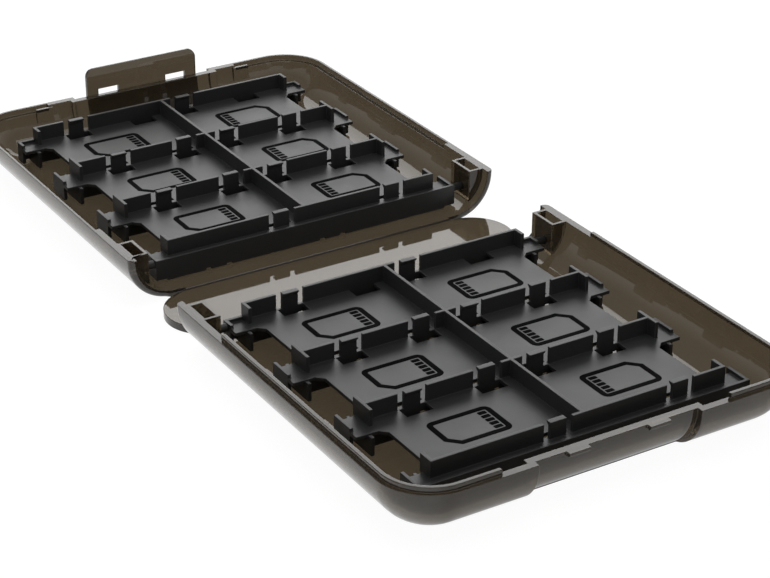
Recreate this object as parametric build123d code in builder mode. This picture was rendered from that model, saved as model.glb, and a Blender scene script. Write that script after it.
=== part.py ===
from build123d import *
import os

# A flat folding storage case for 24 small game cards, lying open.
# X runs along the spine. Y runs from the base shell, on the minus side, to the lid shell.
# Z is up. The origin is the middle of the spine's underside. All sizes are in millimetres.

# The cards that the trays hold, and the room that each pocket leaves round one
card_length = 31.0
card_width = 21.0
card_thickness = 3.3
pocket_play = 2.2
pocket_headroom = 0.35
rows = 3

# The moulded case: base, spine and lid
case_width = 93.4
case_thickness = 21.9
shell_wall = 1.8
edge_radius = 10.2
corner_radius = 11.5
parting_clearance = 0.05

# Living hinges: a thin web between two edges cut back at 45 degrees on the inside
hinge_depth = 0.35
web_thickness = 0.25
web_width = 0.45
groove_flare = 0.6
spine_tip = 43.4
side_wall_setback = 1.1

# Tongue on the base rim, rebate in the lid rim
tongue_inset = 0.8
tongue_height = 1.1
tongue_start = 29.5
tongue_clearance = 0.1
tongue_end_clearance = 0.2
rebate_depth = 1.3
tongue_chamfer = 0.25
latch_land_half = 26.3

# Latch: a recess in both end walls, catches on the base and a flap on the lid
recess_half = 18.7
recess_jog = 1.5
recess_depth = 1.4
recess_foot = 7.1
flap_half_width = 15.1
flap_thickness = 1.2
flap_height = 17.5
flap_corner = 2.0
flap_bevel = 1.9
flap_bevel_depth = 0.6
flap_hinge_height = 0.85
flap_web_width = 0.6
catch_offset = 9.3
catch_width = 5.0
catch_height = 0.95
catch_reach = 1.1
catch_chamfer = 0.35
catch_seat = 0.4
window_clearance = 0.1
window_side_clearance = 0.3
window_drop = 3.4

# Guide blocks inside the lid wall, behind the ends of the tongue
guide_offset = 27.4
guide_width = 4.3
guide_height = 3.6
guide_thickness = 0.9
guide_setback = 0.35

# Hollow posts that carry the trays' pivot pins
post_inner = 41.25
post_outer = 44.5
post_near = 12.7
post_length = 7.8
post_wall = 0.8
pin_radius = 0.9
pin_clearance = 0.07
pin_end_clearance = 0.1

# Card trays
tray_floor_clearance = 0.3
tray_wall = 0.8
plate_thickness = 0.8
row_stagger = 1.35
base_tray_near_gap = 6.8
lid_tray_near_gap = 5.3
tray_far_gap = 9.5
wing_half = 38.6
wing_half_length = 3.6
wing_wall_front = 2.7
wing_wall_rear = 3.4
wing_wall_rise = 0.75
wing_wall_drop = 3.2
top_end_reach = 2.9
top_end_rear_reach = 3.3
under_end_outset = 1.5
under_end_reach = 3.4
notch_depth = 6.4
notch_corner = 1.5
pivot_setback = 1.3

# Spring clips cut out of the row walls
outer_clip = 23.2
inner_clip = 5.8
clip_width = 3.8
clip_slot = 1.4
clip_hook = 0.6
clip_hook_face = 0.3
clip_hook_height = 0.9
under_clip_root = 1.0
opening_width = 6.0
front_opening = 3.0
rear_opening = 1.3
rear_opening_gap = 0.4

# Sizes that follow
hinge_axis_height = shell_wall - hinge_depth
hinge_span = case_thickness - 2 * hinge_axis_height
hinge_y = hinge_span / 2
hinge_half_length = spine_tip - (hinge_span - web_width) / 2
parting_height = case_thickness / 2
rim_height = parting_height - parting_clearance
case_half = case_width / 2
side_wall_end = hinge_y + side_wall_setback
pocket_length = card_length + pocket_play
pocket_depth = card_thickness + pocket_headroom
row_pitch = card_width + pocket_play + tray_wall
tray_thickness = 2 * pocket_depth + plate_thickness
tray_mid = shell_wall + tray_floor_clearance + tray_thickness / 2
tray_half_length = rows * row_pitch / 2 + row_stagger + tray_wall / 2
base_tray_centre = -(hinge_y + base_tray_near_gap + tray_half_length)
lid_tray_centre = hinge_y + lid_tray_near_gap + tray_half_length
case_reach = tray_half_length - base_tray_centre + tray_far_gap
end_wall_outer = tray_wall / 2 + pocket_length + tray_wall
pivot_offset = tray_half_length - pivot_setback
recess_reach = case_reach - recess_depth
above = case_thickness


def outline(inset, near_end):
    """The case's plan, rounded at the two far corners, pushed in by inset."""
    far_end = case_reach - inset
    with BuildSketch() as plan:
        with Locations((0, -(far_end + near_end) / 2)):
            Rectangle(2 * (case_half - inset), far_end - near_end)
        fillet(plan.vertices().group_by(Axis.Y)[0], corner_radius - inset)
    return plan.sketch


def pan(inset, near_end, height):
    """A block with the rounded outline and a rounded lower edge, standing on its inset."""
    with BuildPart() as block:
        with BuildSketch(Plane.XY.offset(inset)):
            add(outline(inset, near_end))
        extrude(amount=height - inset)
        lower_edges = block.faces().sort_by(Axis.Z)[0].edges()
        fillet(lower_edges.sort_by(Axis.Y)[:-1], edge_radius - inset)
    return block.part


def beyond_recess(inset, half_width):
    """The space outside the latch recess: the end profile shifted towards the spine."""
    centre = Vector(-(recess_reach - edge_radius), edge_radius)
    radius = edge_radius - inset
    foot_y = -(case_reach - recess_foot)
    foot_z = centre.Y - (radius**2 - (foot_y - centre.X) ** 2) ** 0.5
    with BuildPart() as space:
        with BuildSketch(Plane.YZ):
            with BuildLine():
                RadiusArc((foot_y, foot_z), (centre.X - radius, centre.Y), radius)
                Polyline(
                    (centre.X - radius, centre.Y),
                    (centre.X - radius, above),
                    (-case_reach - edge_radius, above),
                    (-case_reach - edge_radius, -edge_radius),
                    (foot_y, -edge_radius),
                    (foot_y, foot_z),
                )
            make_face()
        extrude(amount=half_width, both=True)
    return space.part


def hinge_groove(axis_y):
    """The cut that parts two plates at a hinge: a slot for the web, a V above it, a flare below."""
    half_slot = web_width / 2
    half_web = web_thickness / 2
    upper = hinge_depth - half_web + web_width
    with BuildPart() as groove:
        with BuildSketch(Plane.YZ.shift_origin((0, axis_y, hinge_axis_height))):
            with BuildLine():
                Polyline(
                    (-half_slot, half_web),
                    (-half_slot - upper, half_web + upper),
                    (half_slot + upper, half_web + upper),
                    (half_slot, half_web),
                    (half_slot, -half_web),
                    (half_slot + groove_flare, -hinge_axis_height),
                    (-half_slot - groove_flare, -hinge_axis_height),
                    (-half_slot, -half_web),
                    close=True,
                )
            make_face()
        extrude(amount=case_half, both=True)
    return groove.part


def half_shell():
    """What the base and the lid have in common, on the base's side of the spine."""
    post_centre_x = (post_inner + case_half) / 2
    post_centre_y = -(post_near + post_length / 2)
    pocket_centre_x = (post_inner + post_wall + post_outer) / 2
    with BuildPart() as cavity:
        add(pan(shell_wall, 0, above))
        add(beyond_recess(shell_wall, recess_half + recess_jog), mode=Mode.SUBTRACT)
        with BuildSketch():
            with Locations((-post_centre_x, post_centre_y), (post_centre_x, post_centre_y)):
                Rectangle(case_half - post_inner, post_length)
            with Locations((-pocket_centre_x, post_centre_y), (pocket_centre_x, post_centre_y)):
                Rectangle(
                    post_outer - post_inner - post_wall,
                    post_length - 2 * post_wall,
                    mode=Mode.SUBTRACT,
                )
        extrude(amount=above, mode=Mode.SUBTRACT)
    with BuildPart() as half:
        add(pan(0, side_wall_end, rim_height))
        with BuildSketch():
            with Locations((0, -(hinge_y + side_wall_end) / 2)):
                Rectangle(2 * hinge_half_length, side_wall_setback)
        extrude(amount=shell_wall)
        add(beyond_recess(0, recess_half), mode=Mode.SUBTRACT)
        add(cavity.part, mode=Mode.SUBTRACT)
        add(hinge_groove(-hinge_y), mode=Mode.SUBTRACT)
    return half.part


def rim_zone(outer_inset, inner_inset, end_gap):
    """The stretch of rim that carries the tongue, between two insets, clear of spine and latch."""
    near_end = tongue_start - end_gap
    with BuildSketch() as zone:
        add(outline(outer_inset, near_end))
        add(outline(inner_inset, near_end), mode=Mode.SUBTRACT)
        with Locations((0, -case_reach)):
            Rectangle(2 * (latch_land_half - end_gap), 2 * corner_radius, mode=Mode.SUBTRACT)
    return zone.sketch


common_half = half_shell()
base_pivot_y = base_tray_centre + pivot_offset
lid_pivot_y = lid_tray_centre - pivot_offset

# Base shell, with the tongue and the two catches
with BuildPart() as base_shell:
    add(common_half)
    with BuildSketch(Plane.XY.offset(rim_height)):
        add(rim_zone(tongue_inset, shell_wall, 0))
    extrude(amount=tongue_height)
    tongue_top = base_shell.faces().sort_by(Axis.Z)[-2:].edges()
    chamfer(tongue_top.filter_by(Axis.Y), tongue_chamfer)
    catch_face = -recess_reach - catch_reach
    for catch_x in (-catch_offset, catch_offset):
        with BuildSketch(Plane.YZ.offset(catch_x - catch_width / 2)):
            with BuildLine():
                Polyline(
                    (-recess_reach + catch_seat, rim_height),
                    (catch_face, rim_height),
                    (catch_face, rim_height - catch_height + catch_chamfer),
                    (catch_face + catch_chamfer, rim_height - catch_height),
                    (-recess_reach + catch_seat, rim_height - catch_height),
                    close=True,
                )
            make_face()
        extrude(amount=catch_width)
    with BuildSketch(Plane.YZ):
        with Locations((base_pivot_y, tray_mid)):
            Circle(pin_radius + pin_clearance)
    extrude(amount=post_inner + post_wall, both=True, mode=Mode.SUBTRACT)

# Lid shell, with the rebate and the guide blocks
with BuildPart() as lid_shell:
    add(mirror(common_half, about=Plane.XZ))
    guide_y = case_reach - shell_wall
    with BuildSketch(Plane.XY.offset(rim_height - guide_setback)):
        with Locations((-guide_offset, guide_y), (guide_offset, guide_y)):
            Rectangle(guide_width, 2 * guide_thickness)
    extrude(amount=-guide_height)
    with BuildSketch(Plane.XY.offset(rim_height - rebate_depth)):
        add(
            mirror(
                rim_zone(
                    tongue_inset - tongue_clearance,
                    shell_wall + tongue_clearance,
                    tongue_end_clearance,
                ),
                about=Plane.XZ,
            )
        )
    extrude(amount=rebate_depth, mode=Mode.SUBTRACT)
    with BuildSketch(Plane.YZ):
        with Locations((lid_pivot_y, tray_mid)):
            Circle(pin_radius + pin_clearance)
    extrude(amount=post_inner + post_wall, both=True, mode=Mode.SUBTRACT)

# Spine, a plate with round ears between the two hinges
with BuildPart() as spine:
    with BuildSketch():
        SlotOverall(2 * spine_tip, hinge_span - web_width)
    extrude(amount=shell_wall)
    add(hinge_groove(-hinge_y), mode=Mode.SUBTRACT)
    add(hinge_groove(hinge_y), mode=Mode.SUBTRACT)


def hinge_web(axis_y, height, half_length, width):
    """The thin strip that bends at a hinge."""
    with BuildPart() as strip:
        with BuildSketch(Plane.XY.offset(height - web_thickness / 2)):
            with Locations((0, axis_y)):
                Rectangle(2 * half_length, width)
        extrude(amount=web_thickness)
    return strip.part


with BuildPart() as base_hinge_web:
    add(hinge_web(-hinge_y, hinge_axis_height, hinge_half_length, web_width))
with BuildPart() as lid_hinge_web:
    add(hinge_web(hinge_y, hinge_axis_height, hinge_half_length, web_width))

# Latch flap: it follows the lid's outer profile and hangs over the base's catches when closed
recess_end = case_reach - recess_foot
latch_hinge_y = recess_end + flap_web_width / 2
flap_foot_y = recess_end + flap_web_width


def profile_height(y, shift):
    """Height of the rounded end profile at y, for the profile moved towards the spine by shift."""
    return edge_radius - (edge_radius**2 - (y - (case_reach - shift - edge_radius)) ** 2) ** 0.5


with BuildPart() as latch_flap:
    outer_y = case_reach
    inner_y = case_reach - flap_thickness
    with BuildSketch(Plane.YZ):
        with BuildLine():
            RadiusArc(
                (flap_foot_y, profile_height(flap_foot_y, 0)),
                (outer_y, edge_radius),
                -edge_radius,
            )
            Polyline(
                (outer_y, edge_radius),
                (outer_y, flap_height),
                (inner_y + flap_bevel_depth, flap_height),
                (inner_y, flap_height - flap_bevel),
                (inner_y, edge_radius),
            )
            RadiusArc(
                (inner_y, edge_radius),
                (flap_foot_y, profile_height(flap_foot_y, flap_thickness)),
                edge_radius,
            )
            Line(
                (flap_foot_y, profile_height(flap_foot_y, flap_thickness)),
                (flap_foot_y, profile_height(flap_foot_y, 0)),
            )
        make_face()
    extrude(amount=flap_half_width, both=True)
    top_corners = latch_flap.edges().filter_by(Axis.Y).group_by(Axis.Z)[-1]
    fillet(top_corners, flap_corner)
    window_top = case_thickness - rim_height + catch_height + window_clearance
    with BuildSketch(Plane.XZ.offset(-case_reach)):
        with Locations(
            (-catch_offset, window_top - window_drop / 2),
            (catch_offset, window_top - window_drop / 2),
        ):
            Rectangle(catch_width + 2 * window_side_clearance, window_drop)
    extrude(amount=flap_thickness, mode=Mode.SUBTRACT)

with BuildPart() as latch_hinge_web:
    add(hinge_web(latch_hinge_y, flap_hinge_height, flap_half_width, flap_web_width))


def row_wall_y(index):
    """Centre of a row wall on the upper side of a tray, counted from the wall at the far end."""
    return rows * row_pitch / 2 + row_stagger - index * row_pitch


def clips_on(index):
    """The clips of one row wall, as pairs of place along the wall and pocket side."""
    towards_minus = [(-outer_clip, -1), (inner_clip, -1)] if index < rows else []
    towards_plus = [(-inner_clip, 1), (outer_clip, 1)] if index > 0 else []
    return towards_minus + towards_plus


def pocket_side(end_outer, front_reach, rear_reach, clip_root):
    """The row walls, divider, end walls and clips of one side, standing on the plate's middle."""
    half_plate = plate_thickness / 2
    top = half_plate + pocket_depth
    first, last = row_wall_y(0), row_wall_y(rows)
    with BuildPart() as side:
        with BuildSketch():
            for index in range(rows + 1):
                wall_y = row_wall_y(index)
                with Locations((0, wall_y)):
                    Rectangle(2 * end_outer, tray_wall)
                front_end = wall_y - (front_reach if index < rows else tray_wall / 2)
                rear_end = wall_y + (rear_reach if index > 0 else tray_wall / 2)
                with Locations(
                    (-(end_outer - tray_wall / 2), (front_end + rear_end) / 2),
                    (end_outer - tray_wall / 2, (front_end + rear_end) / 2),
                ):
                    Rectangle(tray_wall, rear_end - front_end)
            with Locations((0, (first + last) / 2)):
                Rectangle(tray_wall, first - last + tray_wall)
        extrude(amount=top)
        slot_offset = (clip_width + clip_slot) / 2
        with BuildSketch(Plane.XY.offset(half_plate + clip_root)):
            for index in range(rows + 1):
                for place, _ in clips_on(index):
                    with Locations(
                        (place - slot_offset, row_wall_y(index)),
                        (place + slot_offset, row_wall_y(index)),
                    ):
                        Rectangle(clip_slot, tray_wall)
        extrude(amount=pocket_depth - clip_root, mode=Mode.SUBTRACT)
        for index in range(rows + 1):
            for place, facing in clips_on(index):
                face_y = row_wall_y(index) + facing * tray_wall / 2
                with BuildSketch(Plane.YZ.offset(place - clip_width / 2)):
                    with BuildLine():
                        Polyline(
                            (face_y, top),
                            (face_y + facing * clip_hook, top),
                            (face_y + facing * clip_hook, top - clip_hook_face),
                            (face_y, top - clip_hook_height),
                            close=True,
                        )
                    make_face()
                extrude(amount=clip_width)
    return side.part


def clip_openings():
    """The openings in the plate in front of and behind the clips of the upper side."""
    places = (-outer_clip, -inner_clip, inner_clip, outer_clip)
    with BuildSketch() as openings:
        for index in range(rows + 1):
            if index < rows:
                front_y = row_wall_y(index) - (tray_wall + front_opening) / 2
                with Locations([(place, front_y) for place in places]):
                    Rectangle(opening_width, front_opening)
            if index > 0:
                rear_y = row_wall_y(index) + rear_opening_gap + (tray_wall + rear_opening) / 2
                with Locations([(place, rear_y) for place in places]):
                    Rectangle(opening_width, rear_opening)
    return openings.sketch


def finger_notch():
    """The cut in the plate's side that lets a fingertip under the end of a card."""
    with BuildSketch() as notch:
        Rectangle(2 * notch_depth, row_pitch - 2 * wing_half_length)
        chamfer(notch.vertices(), notch_corner)
    return notch.sketch


def card_tray():
    """A double-sided tray about its own middle, without its pivot pins."""
    upper = pocket_side(end_wall_outer, top_end_reach, top_end_rear_reach, 0)
    under_outer = end_wall_outer + under_end_outset
    under = pocket_side(under_outer, under_end_reach, under_end_reach, under_clip_root)
    half_plate = plate_thickness / 2
    wing_wall_x = wing_half - tray_wall / 2
    back_wall_x = (wing_half + end_wall_outer) / 2
    back_wall_y = tray_half_length - tray_wall / 2
    rise = half_plate + wing_wall_rise
    drop = half_plate + wing_wall_drop
    with BuildPart() as tray:
        with BuildSketch(Plane.XY.offset(-half_plate)):
            Rectangle(2 * wing_half, 2 * tray_half_length)
            notch_rows = [((rows - 1) / 2 - index) * row_pitch for index in range(rows)]
            with Locations([(s * wing_half, y) for s in (-1, 1) for y in notch_rows]):
                add(finger_notch(), mode=Mode.SUBTRACT)
        extrude(amount=plate_thickness)
        with BuildSketch(Plane.XY.offset(-drop)):
            for index in range(rows + 1):
                rear_end = min(row_wall_y(index) + wing_wall_rear, tray_half_length)
                front_end = row_wall_y(index) - wing_wall_front
                if index == rows:
                    front_end = -tray_half_length
                with Locations(
                    (-wing_wall_x, (front_end + rear_end) / 2),
                    (wing_wall_x, (front_end + rear_end) / 2),
                ):
                    Rectangle(tray_wall, rear_end - front_end)
            with Locations((0, -tray_half_length + tray_wall / 2)):
                Rectangle(2 * wing_half, tray_wall)
            with Locations((-back_wall_x, back_wall_y), (back_wall_x, back_wall_y)):
                Rectangle(wing_half - end_wall_outer, tray_wall)
        extrude(amount=rise + drop)
        with BuildSketch(Plane.XY.offset(-rise)):
            with Locations((0, back_wall_y)):
                Rectangle(2 * end_wall_outer, tray_wall)
        extrude(amount=rise)
        add(upper)
        add(mirror(mirror(under, about=Plane.XY), about=Plane.XZ))
        with BuildSketch(Plane.XY.offset(-half_plate)):
            add(clip_openings())
        extrude(amount=plate_thickness, mode=Mode.SUBTRACT)
    return tray.part


tray_body = card_tray()


def pivot_pins(pivot_y):
    """Two stub pins, out of the wing walls and into the posts."""
    pin_start = wing_half - tray_wall / 2
    pin_end = post_inner + post_wall - pin_end_clearance
    with BuildPart() as pins:
        for direction in (-1, 1):
            with BuildSketch(Plane.YZ.offset(direction * pin_start)):
                with Locations((pivot_y, tray_mid)):
                    Circle(pin_radius)
            extrude(amount=direction * (pin_end - pin_start))
    return pins.part


with BuildPart() as base_tray:
    add(tray_body.moved(Location((0, base_tray_centre, tray_mid))))
    add(pivot_pins(base_pivot_y))

with BuildPart() as lid_tray:
    add(tray_body.moved(Location((0, lid_tray_centre, tray_mid))))
    add(pivot_pins(lid_pivot_y))

base_shell.part.label = "base_shell"
lid_shell.part.label = "lid_shell"
spine.part.label = "spine"
base_hinge_web.part.label = "base_hinge_web"
lid_hinge_web.part.label = "lid_hinge_web"
latch_hinge_web.part.label = "latch_hinge_web"
latch_flap.part.label = "latch_flap"
base_tray.part.label = "base_tray"
lid_tray.part.label = "lid_tray"

os.makedirs("parts", exist_ok=True)
export_step(base_shell.part, "parts/base_shell.step")
export_step(lid_shell.part, "parts/lid_shell.step")
export_step(spine.part, "parts/spine.step")
export_step(base_hinge_web.part, "parts/base_hinge_web.step")
export_step(lid_hinge_web.part, "parts/lid_hinge_web.step")
export_step(latch_hinge_web.part, "parts/latch_hinge_web.step")
export_step(latch_flap.part, "parts/latch_flap.step")
export_step(base_tray.part, "parts/base_tray.step")
export_step(lid_tray.part, "parts/lid_tray.step")
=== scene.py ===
from math import hypot, radians

import bpy
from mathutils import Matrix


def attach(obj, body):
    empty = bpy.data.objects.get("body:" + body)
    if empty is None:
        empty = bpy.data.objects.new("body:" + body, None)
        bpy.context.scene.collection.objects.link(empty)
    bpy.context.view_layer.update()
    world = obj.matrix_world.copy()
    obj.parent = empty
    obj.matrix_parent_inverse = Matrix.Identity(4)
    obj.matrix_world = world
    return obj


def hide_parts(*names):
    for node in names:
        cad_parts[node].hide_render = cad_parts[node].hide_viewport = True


# A folding storage case for small game cards, lying open on a white table.
# Blender works in metres. The lengths named here are in millimetres, and each one is
# multiplied by mm where it is used. Angles are in degrees.
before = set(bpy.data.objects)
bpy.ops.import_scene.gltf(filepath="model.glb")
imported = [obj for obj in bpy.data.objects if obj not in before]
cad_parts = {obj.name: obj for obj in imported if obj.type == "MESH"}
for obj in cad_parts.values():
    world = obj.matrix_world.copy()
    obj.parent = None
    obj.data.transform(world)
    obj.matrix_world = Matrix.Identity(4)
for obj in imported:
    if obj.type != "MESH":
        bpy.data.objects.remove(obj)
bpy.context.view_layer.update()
mm = 0.001

# The case, as in the solids.
case_half = 46.7
edge_radius = 10.2
side_wall_end = 10.6
wall_end_foot = 36.6
tongue_top = 12.0
tongue_chamfer = 0.25

# The trays, as in the solids.
base_tray_middle = -54.05
lid_tray_middle = 52.55
tray_plate_top = 6.55
tray_plate_underside = 5.75
rows = 3
row_pitch = 24.0
row_stagger = 1.35
first_row_wall = rows / 2 * row_pitch + row_stagger

# The small roundings that the solids leave out.
wall_end_rounding = 1.4
wall_end_segments = 6
edge_softening = 0.12
edge_segments = 2
tongue_fall = 0.01

# The limits by which a merged mesh is cleaned and its edges are told apart.
welded_within = 0.002
flat_within = 0.4
sharp_from = 35
smooth_up_to = 60
in_place_within = 0.01
on_outside_within = 0.05

# The ink symbol of a memory card, and where it lies in a pocket.
symbol_length = 14.5
symbol_width = 9.9
symbol_height = 0.04
symbol_sunk = 0.02
symbol_line = 1.25
symbol_cut = 2.6
symbol_corner = 1.6
corner_segments = 5
contact_count = 5
contact_length = 1.9
contact_width = 1.1
contact_corner = 0.2
contact_pitch = 1.42
contact_gap = 0.3
symbol_x = 17.9
symbol_setback = 12.35

# The table. Where it is mirrored in the case, its white grows from the first share to the
# second between two lines inside the case's left wall, and stays full to the left of them.
# This brighter white on the left is painted light, which the case's left wall shows as a painted
# reflection.
table_size = 6000
table_gap = 0.05
table_white = 0.85
table_glow = 1.12
table_seen_share = 0.85
table_painted_reflection_shares = (0.5, 1.0)
table_painted_reflection_insets = (11, 1)

# The studio. Its white is full where it is looked at. As a lamp and in reflections it falls
# from the first strength to the second between two heights of the direction it comes from.
studio_seen = 1.0
studio_strengths = (0.5, 0.18)
studio_heights = (0.2, 0.55)

# The camera, fitted to the photograph.
camera_place = (-224.2, -380.8, 225.4)
camera_turn = (62.663, -0.275, -31.516)
camera_sensor = 36
camera_lens = 104.83
camera_nearest = 10


# --- Working by hand on a mesh -------------------------------------------------------------

def leave_nothing_selected():
    if bpy.context.object and bpy.context.object.mode != "OBJECT":
        bpy.ops.object.mode_set(mode="OBJECT")
    bpy.ops.object.select_all(action="DESELECT")


def take_in_hand(piece):
    """The piece alone is selected and active."""
    leave_nothing_selected()
    piece.select_set(True)
    bpy.context.view_layer.objects.active = piece


def copy_in_hand(piece, name):
    """A copy of the piece, with a mesh of its own, is selected and active."""
    take_in_hand(piece)
    bpy.ops.object.duplicate()
    copy = bpy.context.object
    copy.name = name
    return copy


def place_in_mesh(piece):
    """The piece's place goes into its mesh and its object to the origin."""
    take_in_hand(piece)
    bpy.ops.object.transform_apply(location=True, rotation=True, scale=True)


def pick(piece, kind, wanted):
    """In edit mode, only the vertices, edges or faces that are wanted get selected.

    wanted is given an item's middle and the item itself, or for an edge its two ends.
    """
    bpy.ops.mesh.select_mode(type=kind)
    bpy.ops.mesh.select_all(action="DESELECT")
    bpy.ops.object.mode_set(mode="OBJECT")
    mesh = piece.data
    if kind == "VERT":
        for vertex in mesh.vertices:
            vertex.select = wanted(vertex.co, vertex)
    if kind == "EDGE":
        for edge in mesh.edges:
            ends = [mesh.vertices[i].co for i in edge.vertices]
            edge.select = wanted((ends[0] + ends[1]) / 2, ends)
    if kind == "FACE":
        for face in mesh.polygons:
            face.select = wanted(face.center, face)
    bpy.ops.object.mode_set(mode="EDIT")


# --- Materials -----------------------------------------------------------------------------

def new_material(name):
    """A material, with its tree of nodes and its Principled shader."""
    material = bpy.data.materials.new(name)
    material.use_nodes = True
    return material, material.node_tree, material.node_tree.nodes["Principled BSDF"]


def feed(tree, node, inputs):
    """Each of these inputs of the node is joined to an output or given its value."""
    for name, value in inputs.items():
        if isinstance(value, bpy.types.NodeSocket):
            tree.links.new(value, node.inputs[name])
        else:
            node.inputs[name].default_value = value


def new_node(tree, kind, inputs):
    """The outputs of a new node that is fed with these inputs."""
    node = tree.nodes.new(kind)
    feed(tree, node, inputs)
    return node.outputs


def stretched(tree, value, span, onto):
    """The value, with its span stretched onto another one and held inside it."""
    return new_node(tree, "ShaderNodeMapRange", {
        "Value": value, "From Min": span[0], "From Max": span[1],
        "To Min": onto[0], "To Max": onto[1]})["Result"]


def reckoned(tree, operation, first, second):
    """What a Math node makes of two values."""
    node = tree.nodes.new("ShaderNodeMath")
    node.operation = operation
    feed(tree, node, {0: first, 1: second})
    return node.outputs[0]


def plastic_surface(tree, shader, tint, cloudiness, roughness, grain_size, grain_depth):
    """The moulded surface: faint cloudiness in the colour, handling smudges and a fine grain."""
    place = new_node(tree, "ShaderNodeTexCoord", {})["Object"]

    clouds = new_node(tree, "ShaderNodeTexNoise", {
        "Vector": place, "Scale": 45.0, "Detail": 4.0})["Fac"]
    colour = tree.nodes.new("ShaderNodeMix")
    colour.data_type = "RGBA"
    colour.blend_type = "MULTIPLY"
    feed(tree, colour, {
        "Factor": 1.0, "A": (*tint, 1), "B": stretched(tree, clouds, (0.3, 0.7), cloudiness)})

    smudges = new_node(tree, "ShaderNodeTexNoise", {
        "Vector": place, "Scale": 110.0, "Detail": 6.0, "Distortion": 0.6})["Fac"]

    grain = new_node(tree, "ShaderNodeTexNoise", {
        "Vector": place, "Scale": 1 / (grain_size * mm), "Detail": 2.0})["Fac"]
    bump = new_node(tree, "ShaderNodeBump", {
        "Strength": 0.6, "Distance": grain_depth * mm, "Height": grain})

    feed(tree, shader, {
        "Base Color": colour.outputs["Result"],
        "Roughness": stretched(tree, smudges, (0.35, 0.75), roughness),
        "Normal": bump["Normal"]})


def smoked_plastic():
    """Clear brown-black plastic with polished faces."""
    material, tree, shader = new_material("smoked_plastic")
    shader.inputs["Transmission Weight"].default_value = 0.8
    shader.inputs["IOR"].default_value = 1.56
    plastic_surface(tree, shader, tint=(0.088, 0.068, 0.043), cloudiness=(0.93, 1.07),
                    roughness=(0.025, 0.06), grain_size=9.0, grain_depth=0.01)
    return material


def tray_plastic():
    """Black satin plastic with a fine spark-eroded grain."""
    material, tree, shader = new_material("black_tray_plastic")
    shader.inputs["IOR"].default_value = 1.5
    plastic_surface(tree, shader, tint=(0.024, 0.024, 0.0242), cloudiness=(0.9, 1.1),
                    roughness=(0.38, 0.44), grain_size=0.22, grain_depth=0.004)
    return material


def symbol_ink():
    """Matt black ink of the card symbols."""
    material, tree, shader = new_material("card_symbol_ink")
    shader.inputs["Specular IOR Level"].default_value = 0.03
    plastic_surface(tree, shader, tint=(0.002, 0.002, 0.002), cloudiness=(0.8, 1.2),
                    roughness=(0.7, 0.85), grain_size=0.3, grain_depth=0.002)
    return material


def give(piece, material):
    """The piece wears this material and no other."""
    piece.data.materials.clear()
    piece.data.materials.append(material)


smoked = smoked_plastic()
tray_black = tray_plastic()
ink = symbol_ink()


# --- The mouldings, with the small roundings that a mould leaves on every edge --------------

def round_wall_ends(piece):
    """The outer edge of the side walls' ends, next to the spine, is rounded off."""

    def on_end(co):
        return (abs(abs(co.y) - side_wall_end * mm) < in_place_within * mm
                and abs(co.x) > wall_end_foot * mm)

    def on_side(co):
        return abs(co.x) > (case_half - on_outside_within) * mm

    def on_lower_edge(co):
        from_middle = hypot(abs(co.x) - (case_half - edge_radius) * mm, co.z - edge_radius * mm)
        return (abs(from_middle - edge_radius * mm) < on_outside_within * mm
                and co.z < edge_radius * mm)

    pick(piece, "EDGE", lambda middle, ends: all(
        on_end(end) and (on_side(end) or on_lower_edge(end)) for end in ends))
    bpy.ops.mesh.bevel(offset=wall_end_rounding * mm, segments=wall_end_segments,
                       affect="EDGES")


def square_up_tongue(piece):
    """The straight tongues' chamfer becomes a small fall, so that their top shows light."""
    chamfer_foot = (tongue_top - tongue_chamfer) * mm
    pick(piece, "VERT", lambda co, vertex: abs(co.z - chamfer_foot) < in_place_within * mm)
    bpy.ops.transform.translate(value=(0, 0, (tongue_chamfer - tongue_fall) * mm))


body_of = {
    "base_shell": "base",
    "lid_shell": "lid",
    "base_tray": "base_tray",
    "lid_tray": "lid_tray",
    "latch_flap": "latch",
    "spine": "spine",
}


def softened(name, material):
    """A merged copy of a CAD node with its sharp edges rounded, shown in place of the node."""
    piece = copy_in_hand(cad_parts[name], name + "_moulding")
    bpy.ops.object.mode_set(mode="EDIT")
    bpy.ops.mesh.select_all(action="SELECT")
    bpy.ops.mesh.remove_doubles(threshold=welded_within * mm)
    bpy.ops.mesh.dissolve_limited(angle_limit=radians(flat_within))
    if name.endswith("shell"):
        round_wall_ends(piece)
    if name == "base_shell":
        square_up_tongue(piece)
    bpy.ops.mesh.select_mode(type="EDGE")
    bpy.ops.mesh.select_all(action="DESELECT")
    bpy.ops.mesh.edges_select_sharp(sharpness=radians(sharp_from))
    bpy.ops.mesh.bevel(offset=edge_softening * mm, segments=edge_segments, affect="EDGES")
    bpy.ops.object.mode_set(mode="OBJECT")
    bpy.ops.object.shade_smooth_by_angle(angle=radians(smooth_up_to))
    even = piece.modifiers.new("even_shading", "WEIGHTED_NORMAL")
    even.keep_sharp = True
    bpy.ops.object.modifier_apply(modifier="even_shading")
    give(piece, material)
    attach(piece, body_of[name])
    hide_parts(name)


for name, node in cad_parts.items():
    give(node, tray_black if name.endswith("tray") else smoked)
for name in ("base_tray", "lid_tray"):
    softened(name, tray_black)
for name in ("base_shell", "lid_shell", "latch_flap", "spine"):
    softened(name, smoked)


# --- Card symbols, one in each pocket ------------------------------------------------------

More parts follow.
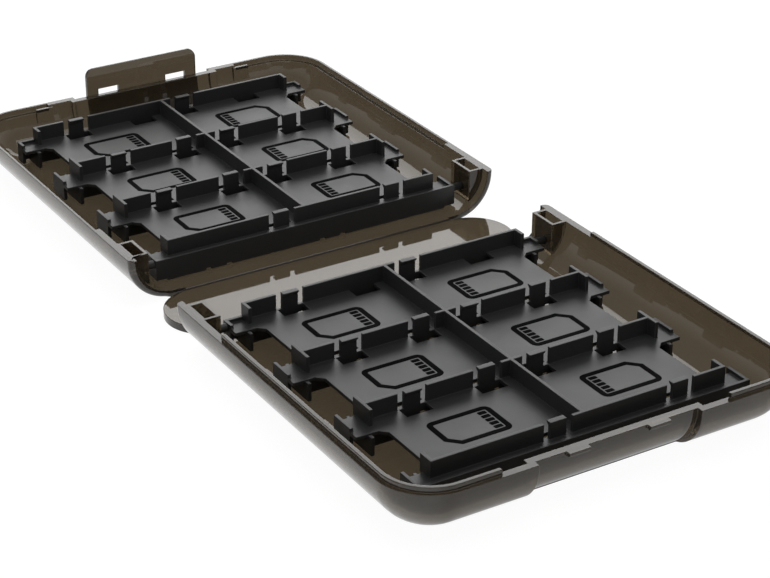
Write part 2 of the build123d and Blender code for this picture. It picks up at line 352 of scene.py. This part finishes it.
def ink_block(length, width, corner, cut):
    """A thin block of ink with three rounded corners and one corner cut off."""
    leave_nothing_selected()
    bpy.ops.mesh.primitive_cube_add(size=1)
    block = bpy.context.object
    block.scale = (length * mm, width * mm, symbol_height * mm)
    place_in_mesh(block)
    bpy.ops.object.mode_set(mode="EDIT")

    def upright(ends):
        return abs(ends[0].z - ends[1].z) > symbol_height * mm / 2

    def at_cut(co):
        return (co.x > (length / 2 - in_place_within) * mm
                and co.y > (width / 2 - in_place_within) * mm)

    pick(block, "EDGE", lambda middle, ends: upright(ends) and not at_cut(middle))
    bpy.ops.mesh.bevel(offset=corner * mm, segments=corner_segments, affect="EDGES")
    pick(block, "EDGE", lambda middle, ends: upright(ends) and at_cut(middle))
    bpy.ops.mesh.bevel(offset=cut * mm, segments=1, affect="EDGES")
    bpy.ops.object.mode_set(mode="OBJECT")
    return block


def card_symbol():
    """A plain memory card seen from above: a frame with a cut corner and a row of contacts."""
    contact = ink_block(contact_length, contact_width, contact_corner, contact_corner)
    first_y = -(contact_count - 1) / 2 * contact_pitch
    contact_x = symbol_length / 2 - symbol_line - contact_gap - contact_length / 2
    contact.location = (-contact_x * mm, first_y * mm, 0)
    place_in_mesh(contact)
    row = contact.modifiers.new("row", "ARRAY")
    row.count = contact_count
    row.use_relative_offset = False
    row.use_constant_offset = True
    row.constant_offset_displace = (0, contact_pitch * mm, 0)
    bpy.ops.object.modifier_apply(modifier="row")

    def on_top_or_under(middle, face):
        return abs(face.normal.z) > 0.9

    symbol = ink_block(symbol_length, symbol_width, symbol_corner, symbol_cut)
    bpy.ops.object.mode_set(mode="EDIT")
    pick(symbol, "FACE", on_top_or_under)
    bpy.ops.mesh.inset(thickness=symbol_line * mm)
    bpy.ops.mesh.bridge_edge_loops()
    bpy.ops.object.mode_set(mode="OBJECT")
    contact.select_set(True)
    bpy.ops.object.join()
    give(symbol, ink)
    return symbol


def lay_symbol(symbol, name, body, place, turn):
    """A copy of the symbol laid on a pocket's floor."""
    copy = copy_in_hand(symbol, name)
    copy.location = [value * mm for value in place]
    copy.rotation_euler = [radians(angle) for angle in turn]
    place_in_mesh(copy)
    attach(copy, body)


pattern = card_symbol()
lift = symbol_height / 2 - symbol_sunk
for body, middle in (("base_tray", base_tray_middle), ("lid_tray", lid_tray_middle)):
    for row in range(rows):
        for side, x, turn in (("left", -symbol_x, 180), ("right", symbol_x, 0)):
            top_y = middle + first_row_wall - row * row_pitch - symbol_setback
            under_y = middle - first_row_wall + row * row_pitch + symbol_setback
            lay_symbol(pattern, f"{body}_symbol_{row + 1}_{side}", body,
                       (x, top_y, tray_plate_top + lift), (0, 0, turn))
            lay_symbol(pattern, f"{body}_under_symbol_{row + 1}_{side}", body,
                       (x, under_y, tray_plate_underside - lift), (180, 0, turn))
take_in_hand(pattern)
bpy.ops.object.delete()


# --- Table, light and camera ---------------------------------------------------------------

def table():
    """A white table top that shows white and keeps the soft shadow of the case.

    In reflections it glows brighter to the left of the case. That glow is painted light, and the
    case's left wall shows it as a painted reflection.
    """
    leave_nothing_selected()
    bpy.ops.mesh.primitive_plane_add(size=table_size * mm, location=(0, 0, -table_gap * mm))
    top = bpy.context.object
    top.name = "table_top"
    material, tree, shader = new_material("white_table")
    shader.inputs["Base Color"].default_value = (table_white, table_white, table_white, 1)
    shader.inputs["Roughness"].default_value = 0.9
    shader.inputs["Specular IOR Level"].default_value = 0.0

    seen = new_node(tree, "ShaderNodeLightPath", {})
    straight_look = reckoned(tree, "MAXIMUM", seen["Is Camera Ray"], seen["Is Transmission Ray"])
    straight_share = reckoned(tree, "MULTIPLY", straight_look, table_seen_share)
    place = new_node(tree, "ShaderNodeTexCoord", {})["Object"]
    across = new_node(tree, "ShaderNodeSeparateXYZ", {"Vector": place})["X"]
    # Painted light: in reflections the table glows fully to the left of the case, which paints a
    # bright reflection on the case's left wall.
    painted_reflection_fade = [-(case_half - inset) * mm for inset in table_painted_reflection_insets]
    painted_light_left_of_case = stretched(tree, across, painted_reflection_fade, table_painted_reflection_shares)
    painted_reflection_share = reckoned(tree, "MULTIPLY", seen["Is Glossy Ray"], painted_light_left_of_case)
    share = reckoned(tree, "MAXIMUM", straight_share, painted_reflection_share)

    glow = new_node(tree, "ShaderNodeEmission", {"Strength": table_glow})["Emission"]
    blend = new_node(tree, "ShaderNodeMixShader", {
        "Fac": share, 1: shader.outputs["BSDF"], 2: glow})["Shader"]
    feed(tree, tree.nodes["Material Output"], {"Surface": blend})
    give(top, material)


def surroundings():
    """A plain white studio: white where it is looked at, dimmer in reflections and as a lamp."""
    world = bpy.data.worlds.new("studio")
    bpy.context.scene.world = world
    world.use_nodes = True
    tree = world.node_tree
    seen = new_node(tree, "ShaderNodeLightPath", {})
    indirect = reckoned(tree, "MAXIMUM", seen["Is Diffuse Ray"], seen["Is Glossy Ray"])
    direction = new_node(tree, "ShaderNodeTexCoord", {})["Generated"]
    height = new_node(tree, "ShaderNodeSeparateXYZ", {"Vector": direction})["Z"]
    dimmed = stretched(tree, height, studio_heights, studio_strengths)
    strength = stretched(tree, indirect, (0.0, 1.0), (studio_seen, dimmed))
    feed(tree, tree.nodes["Background"], {"Color": (1, 1, 1, 1), "Strength": strength})


def soft_box(name, place, turn, size, power):
    """A large soft lamp. Its place and size are in metres."""
    bpy.ops.object.light_add(type="AREA", location=place, rotation=[radians(a) for a in turn])
    lamp = bpy.context.object
    lamp.name = name
    lamp.data.shape = "RECTANGLE"
    lamp.data.size, lamp.data.size_y = size
    lamp.data.energy = power


def camera():
    """The camera where the photograph was taken from."""
    bpy.ops.object.camera_add(location=[value * mm for value in camera_place],
                              rotation=[radians(angle) for angle in camera_turn])
    eye = bpy.context.object
    eye.data.sensor_width = camera_sensor
    eye.data.lens = camera_lens
    eye.data.clip_start = camera_nearest * mm
    bpy.context.scene.camera = eye


leave_nothing_selected()
table()
surroundings()
soft_box("lamp_behind", place=(0.42, 0.68, 0.42), turn=(62.7, 0, 148.5), size=(1.1, 0.55),
         power=4.0)
soft_box("lamp_above", place=(0.1, 0.0, 0.9), turn=(0, 0, 0), size=(0.8, 0.8), power=2.5)
camera()
bpy.context.scene.view_settings.view_transform = "Standard"
